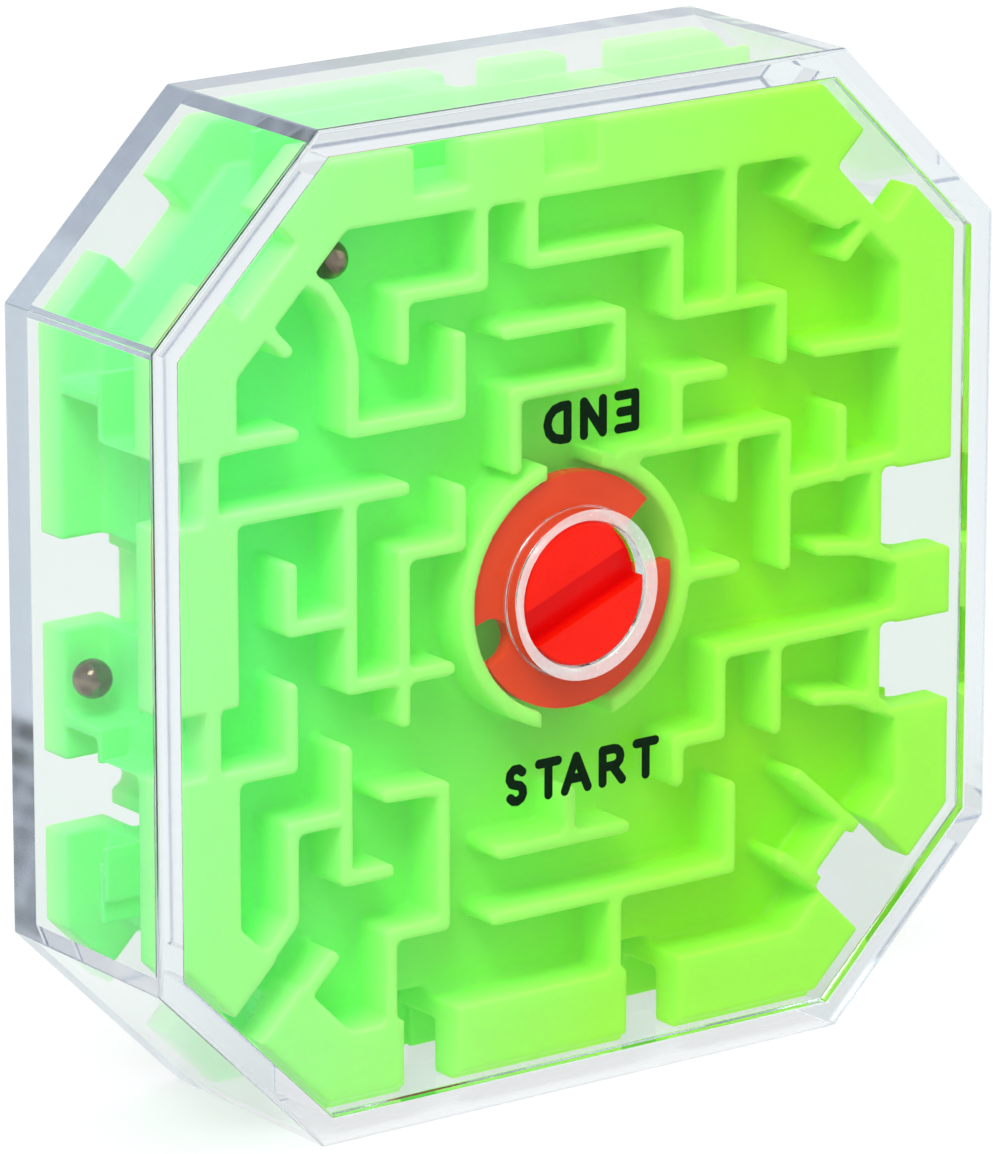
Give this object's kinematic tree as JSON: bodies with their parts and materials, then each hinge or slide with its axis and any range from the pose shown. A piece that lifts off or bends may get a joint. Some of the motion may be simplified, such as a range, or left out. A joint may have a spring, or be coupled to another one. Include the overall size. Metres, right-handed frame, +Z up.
{
  "type": "ball maze puzzle",
  "caption": "Palm-size two-sided ball maze in a clear octagonal case, with a red slotted selector knob in the middle and steel balls in the lanes.",
  "frame": {"origin": "middle of the case's flat bottom edge face, on the surface it stands on", "axes": "+Z up, front (the side with the knob) towards -Y, +X to the right as seen from the front"},
  "size_m": [0.09, 0.023, 0.09],
  "materials": {
    "clear_case": "clear polished styrene",
    "green_maze": "fluorescent green moulding, soft sheen",
    "red_selector": "glossy red moulding",
    "steel_ball": "polished steel",
    "print_ink": "dark printed ink"
  },
  "bodies": {
    "case": {"rear_case": "clear_case", "front_cover": "clear_case", "front_maze": "green_maze", "rear_maze": "green_maze", "start_print": "print_ink", "end_print": "print_ink"},
    "selector": {"rotor": "red_selector"},
    "front_lane_ball": {"front_ball": "steel_ball"},
    "edge_lane_ball": {"side_ball": "steel_ball"}
  },
  "joints": [
    {"name": "selector_turn", "type": "hinge", "parent": "case", "child": "selector", "pos_m": [0, 0, 0.045], "axis": [0, 1, 0], "continuous": true},
    {"name": "front_ball_roll", "type": "slide", "parent": "case", "child": "front_lane_ball", "axis": [1, 0, 0], "range_m": [0, 0.0113]},
    {"name": "side_ball_roll", "type": "slide", "parent": "case", "child": "edge_lane_ball", "axis": [0, 0, 1], "range_m": [-0.0012, 0.0224]}
  ]
}
